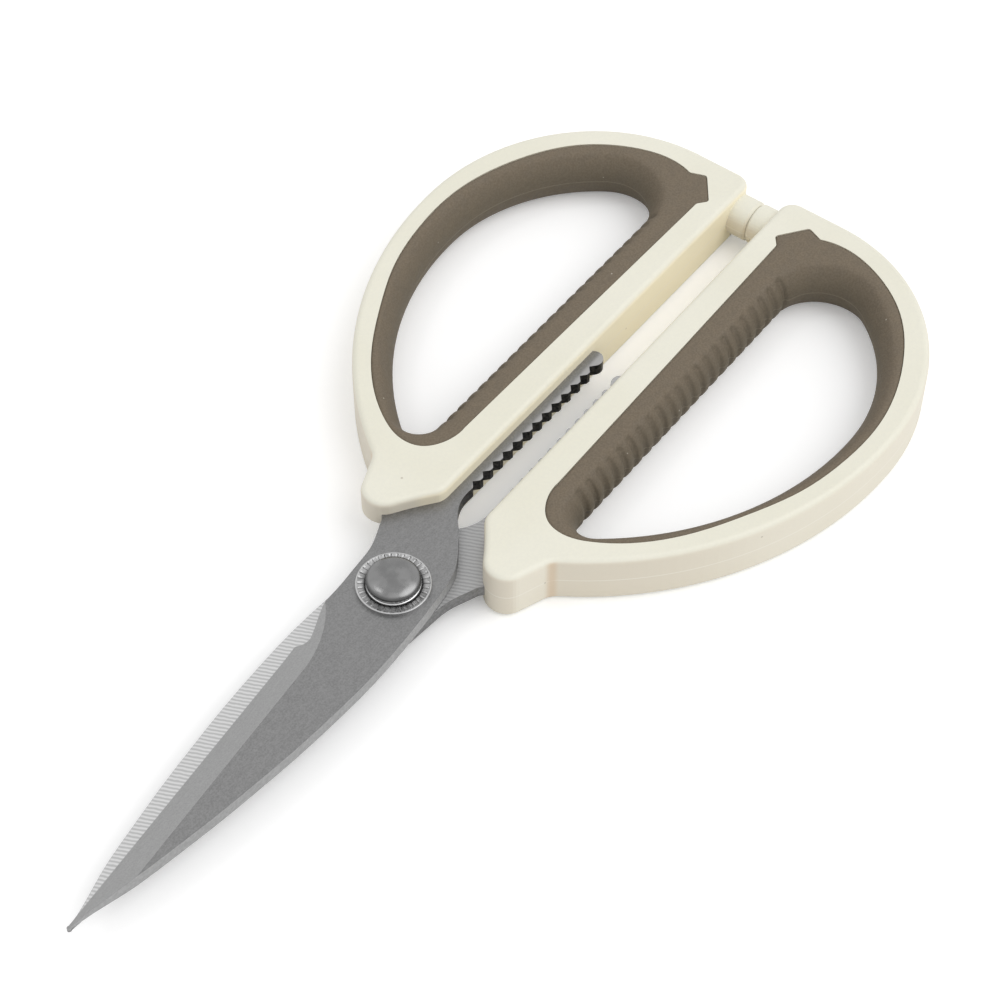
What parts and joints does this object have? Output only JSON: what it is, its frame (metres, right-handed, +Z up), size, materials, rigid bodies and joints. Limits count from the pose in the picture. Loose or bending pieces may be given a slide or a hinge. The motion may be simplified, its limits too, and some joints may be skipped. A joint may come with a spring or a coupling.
{
  "type": "kitchen shears",
  "caption": "Kitchen shears with bevelled steel blades on a domed pivot bolt, toothed gripping jaws and moulded loop handles with soft ribbed grips.",
  "frame": {"origin": "centre of the footprint on the table under the closed shears", "axes": "+X towards the blade tips, +Y towards the rear handle, +Z up out of the table"},
  "size_m": [0.2198, 0.1156, 0.0124],
  "materials": {
    "blade_steel": "satin ground stainless steel",
    "handle_plastic": "smooth cream moulded plastic",
    "grip_rubber": "matt brown moulded elastomer",
    "pivot_steel": "turned bright steel"
  },
  "bodies": {
    "front": {"front_blade": "blade_steel", "front_handle": "handle_plastic", "front_grip": "grip_rubber", "pivot_bolt": "pivot_steel", "serrated_washer": "pivot_steel", "back_washer": "pivot_steel", "pivot_nut": "pivot_steel"},
    "rear": {"rear_blade": "blade_steel", "rear_handle": "handle_plastic", "rear_grip": "grip_rubber"}
  },
  "joints": [
    {"name": "pivot_hinge", "type": "hinge", "parent": "front", "child": "rear", "pos_m": [0.01935, 0, 0.006], "axis": [0, 0, -1], "range_deg": [0, 75]}
  ]
}
